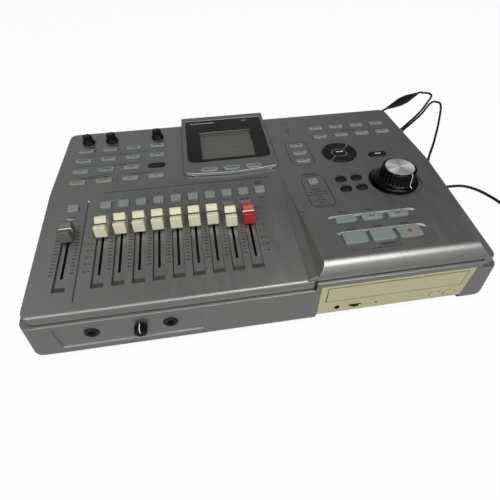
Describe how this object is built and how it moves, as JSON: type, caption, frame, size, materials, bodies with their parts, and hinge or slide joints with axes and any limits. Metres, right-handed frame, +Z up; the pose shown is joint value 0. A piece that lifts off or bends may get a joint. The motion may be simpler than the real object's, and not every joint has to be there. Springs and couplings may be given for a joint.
{
  "type": "multitrack recorder",
  "caption": "Desktop multitrack recorder with sliding faders, knobs, keys, jog dial, display hood, front disc drive and power adapter lead.",
  "frame": {"origin": "on the table under the middle of the recorder, level with the undersides of its feet", "axes": "+X to the right as the user faces it, +Y to the rear where the power lead goes in, +Z up"},
  "size_m": [0.631, 0.4896, 0.0927],
  "materials": {
    "silver_case": "satin metallic paint on moulded plastic",
    "black_plastic": "satin black moulding",
    "rubber_foot": "matte rubber",
    "key_grey": "light grey-green satin moulding",
    "cap_cream": "cream satin moulding",
    "cap_red": "red satin moulding",
    "cap_grey": "grey satin moulding",
    "bezel_cream": "cream fine-grained moulding",
    "spun_metal": "spun and satin",
    "sheet_metal": "plain sheet",
    "lens_glass": "smoked clear plastic window",
    "display": "liquid crystal display module",
    "circuit_board": "green laminate with parts soldered on",
    "cable_black": "soft black jacket"
  },
  "bodies": {
    "case": {"upper_case": "silver_case", "lower_case": "silver_case", "display_hood": "silver_case", "display_lens": "lens_glass", "display_module": "display", "key_board": "circuit_board", "fader_board": "circuit_board", "main_board": "circuit_board", "hard_disk": "sheet_metal", "drive_chassis": "sheet_metal", "drive_bezel": "bezel_cream", "front_jack_board": "circuit_board", "rear_jack_board": "circuit_board", "foot_front_left": "rubber_foot", "foot_front_right": "rubber_foot", "foot_rear_left": "rubber_foot", "foot_rear_right": "rubber_foot", "power_plug": "black_plastic", "power_lead": "cable_black", "lead_choke": "cable_black", "power_lead_long": "cable_black", "power_lead_coil": "cable_black", "power_adapter": "black_plastic"},
    "fader_0": {"fader_0": "cap_grey"},
    "fader_1": {"fader_1": "cap_cream"},
    "fader_2": {"fader_2": "cap_cream"},
    "fader_3": {"fader_3": "cap_cream"},
    "fader_4": {"fader_4": "cap_cream"},
    "fader_5": {"fader_5": "cap_cream"},
    "fader_6": {"fader_6": "cap_cream"},
    "fader_7": {"fader_7": "cap_cream"},
    "fader_8": {"fader_8": "cap_cream"},
    "fader_9": {"fader_9": "cap_red"},
    "panel_knob_1": {"panel_knob_1": "black_plastic"},
    "panel_knob_2": {"panel_knob_2": "black_plastic"},
    "panel_knob_3": {"panel_knob_3": "black_plastic"},
    "front_level_knob": {"front_level_knob": "black_plastic"},
    "jog_dial": {"jog_dial": "black_plastic", "jog_dial_cap": "spun_metal"},
    "disc_tray": {"disc_tray": "bezel_cream"},
    "drive_button_1": {"drive_button_1": "bezel_cream"},
    "drive_button_2": {"drive_button_2": "bezel_cream"},
    "volume_wheel": {"volume_wheel": "black_plastic"},
    "left_rear_keys": {"left_rear_keys": "key_grey"},
    "left_front_keys": {"left_front_keys": "key_grey"},
    "left_black_key": {"left_black_key": "black_plastic"},
    "right_panel_keys": {"right_panel_keys": "key_grey"},
    "mode_key_strip": {"mode_key_strip": "key_grey"},
    "exit_key": {"exit_key": "black_plastic"},
    "small_black_keys": {"small_black_keys": "black_plastic"},
    "cursor_keys": {"cursor_keys": "black_plastic"},
    "enter_key": {"enter_key": "black_plastic"},
    "zero_key": {"zero_key": "key_grey"},
    "rewind_key": {"rewind_key": "key_grey"},
    "forward_key": {"forward_key": "key_grey"},
    "stop_key": {"stop_key": "key_grey"},
    "play_key": {"play_key": "key_grey"},
    "record_key": {"record_key": "key_grey"},
    "track_key_strip": {"track_key_strip": "key_grey"},
    "soft_key_strip": {"soft_key_strip": "key_grey"}
  },
  "joints": [
    {"name": "fader_0_slide", "type": "slide", "parent": "case", "child": "fader_0", "axis": [0, 0.9942, 0.1074], "range_m": [-0.0473, 0.0127]},
    {"name": "fader_1_slide", "type": "slide", "parent": "case", "child": "fader_1", "axis": [0, 0.9942, 0.1074], "range_m": [-0.0488, 0.0112]},
    {"name": "fader_2_slide", "type": "slide", "parent": "case", "child": "fader_2", "axis": [0, 0.9942, 0.1074], "range_m": [-0.0506, 0.0094]},
    {"name": "fader_3_slide", "type": "slide", "parent": "case", "child": "fader_3", "axis": [0, 0.9942, 0.1074], "range_m": [-0.0506, 0.0094]},
    {"name": "fader_4_slide", "type": "slide", "parent": "case", "child": "fader_4", "axis": [0, 0.9942, 0.1074], "range_m": [-0.0505, 0.0095]},
    {"name": "fader_5_slide", "type": "slide", "parent": "case", "child": "fader_5", "axis": [0, 0.9942, 0.1074], "range_m": [-0.0498, 0.0102]},
    {"name": "fader_6_slide", "type": "slide", "parent": "case", "child": "fader_6", "axis": [0, 0.9942, 0.1074], "range_m": [-0.0498, 0.0102]},
    {"name": "fader_7_slide", "type": "slide", "parent": "case", "child": "fader_7", "axis": [0, 0.9942, 0.1074], "range_m": [-0.0496, 0.0104]},
    {"name": "fader_8_slide", "type": "slide", "parent": "case", "child": "fader_8", "axis": [0, 0.9942, 0.1074], "range_m": [-0.0443, 0.0157]},
    {"name": "fader_9_slide", "type": "slide", "parent": "case", "child": "fader_9", "axis": [0, 0.9942, 0.1074], "range_m": [-0.045, 0.015]},
    {"name": "panel_knob_1_turn", "type": "hinge", "parent": "case", "child": "panel_knob_1", "pos_m": [-0.1843, 0.11405, 0.08], "axis": [0, 0, 1], "range_deg": [-160, 120]},
    {"name": "panel_knob_2_turn", "type": "hinge", "parent": "case", "child": "panel_knob_2", "pos_m": [-0.1563, 0.11405, 0.08], "axis": [0, 0, 1], "range_deg": [-140, 140]},
    {"name": "panel_knob_3_turn", "type": "hinge", "parent": "case", "child": "panel_knob_3", "pos_m": [-0.1003, 0.11405, 0.08], "axis": [0, 0, 1], "range_deg": [-140, 140]},
    {"name": "front_level_knob_turn", "type": "hinge", "parent": "case", "child": "front_level_knob", "pos_m": [-0.1185, -0.13795, 0.031], "axis": [0, 1, 0], "range_deg": [-140, 140]},
    {"name": "jog_dial_turn", "type": "hinge", "parent": "case", "child": "jog_dial", "pos_m": [0.155, -0.02295, 0.083], "axis": [0, 0, 1], "continuous": true},
    {"name": "disc_tray_slide", "type": "slide", "parent": "case", "child": "disc_tray", "axis": [0, -1, 0], "range_m": [0, 0.135]},
    {"name": "drive_button_1_press", "type": "slide", "parent": "case", "child": "drive_button_1", "axis": [0, 1, 0], "range_m": [0, 0.0008], "stiffness_N_per_m": 400},
    {"name": "drive_button_2_press", "type": "slide", "parent": "case", "child": "drive_button_2", "axis": [0, 1, 0], "range_m": [0, 0.0008], "stiffness_N_per_m": 400},
    {"name": "volume_wheel_turn", "type": "hinge", "parent": "case", "child": "volume_wheel", "pos_m": [0.08, -0.12865, 0.019], "axis": [0, 0, 1], "range_deg": [-140, 140]},
    {"name": "left_rear_keys_press", "type": "slide", "parent": "case", "child": "left_rear_keys", "axis": [0, 0, -1], "range_m": [0, 0.0005], "stiffness_N_per_m": 400},
    {"name": "left_front_keys_press", "type": "slide", "parent": "case", "child": "left_front_keys", "axis": [0, 0, -1], "range_m": [0, 0.0005], "stiffness_N_per_m": 400},
    {"name": "left_black_key_press", "type": "slide", "parent": "case", "child": "left_black_key", "axis": [0, 0, -1], "range_m": [0, 0.0005], "stiffness_N_per_m": 400},
    {"name": "right_panel_keys_press", "type": "slide", "parent": "case", "child": "right_panel_keys", "axis": [0, 0, -1], "range_m": [0, 0.0005], "stiffness_N_per_m": 400},
    {"name": "mode_key_strip_press", "type": "slide", "parent": "case", "child": "mode_key_strip", "axis": [0, 0, -1], "range_m": [0, 0.0005], "stiffness_N_per_m": 400},
    {"name": "exit_key_press", "type": "slide", "parent": "case", "child": "exit_key", "axis": [0, 0, -1], "range_m": [0, 0.0005], "stiffness_N_per_m": 400},
    {"name": "small_black_keys_press", "type": "slide", "parent": "case", "child": "small_black_keys", "axis": [0, 0, -1], "range_m": [0, 0.0005], "stiffness_N_per_m": 400},
    {"name": "cursor_keys_press", "type": "slide", "parent": "case", "child": "cursor_keys", "axis": [0, 0, -1], "range_m": [0, 0.0005], "stiffness_N_per_m": 400},
    {"name": "enter_key_press", "type": "slide", "parent": "case", "child": "enter_key", "axis": [0, 0, -1], "range_m": [0, 0.0005], "stiffness_N_per_m": 400},
    {"name": "zero_key_press", "type": "slide", "parent": "case", "child": "zero_key", "axis": [0, 0, -1], "range_m": [0, 0.0005], "stiffness_N_per_m": 400},
    {"name": "rewind_key_press", "type": "slide", "parent": "case", "child": "rewind_key", "axis": [0, 0, -1], "range_m": [0, 0.0005], "stiffness_N_per_m": 400},
    {"name": "forward_key_press", "type": "slide", "parent": "case", "child": "forward_key", "axis": [0, 0, -1], "range_m": [0, 0.0005], "stiffness_N_per_m": 400},
    {"name": "stop_key_press", "type": "slide", "parent": "case", "child": "stop_key", "axis": [0, 0, -1], "range_m": [0, 0.0005], "stiffness_N_per_m": 400},
    {"name": "play_key_press", "type": "slide", "parent": "case", "child": "play_key", "axis": [0, 0, -1], "range_m": [0, 0.0005], "stiffness_N_per_m": 400},
    {"name": "record_key_press", "type": "slide", "parent": "case", "child": "record_key", "axis": [0, 0, -1], "range_m": [0, 0.0005], "stiffness_N_per_m": 400},
    {"name": "track_key_strip_press", "type": "slide", "parent": "case", "child": "track_key_strip", "axis": [0, 0.1074, -0.9942], "range_m": [0, 0.0005], "stiffness_N_per_m": 400},
    {"name": "soft_key_strip_press", "type": "slide", "parent": "case", "child": "soft_key_strip", "axis": [0, 0.0553, -0.9985], "range_m": [0, 0.0005], "stiffness_N_per_m": 400}
  ]
}
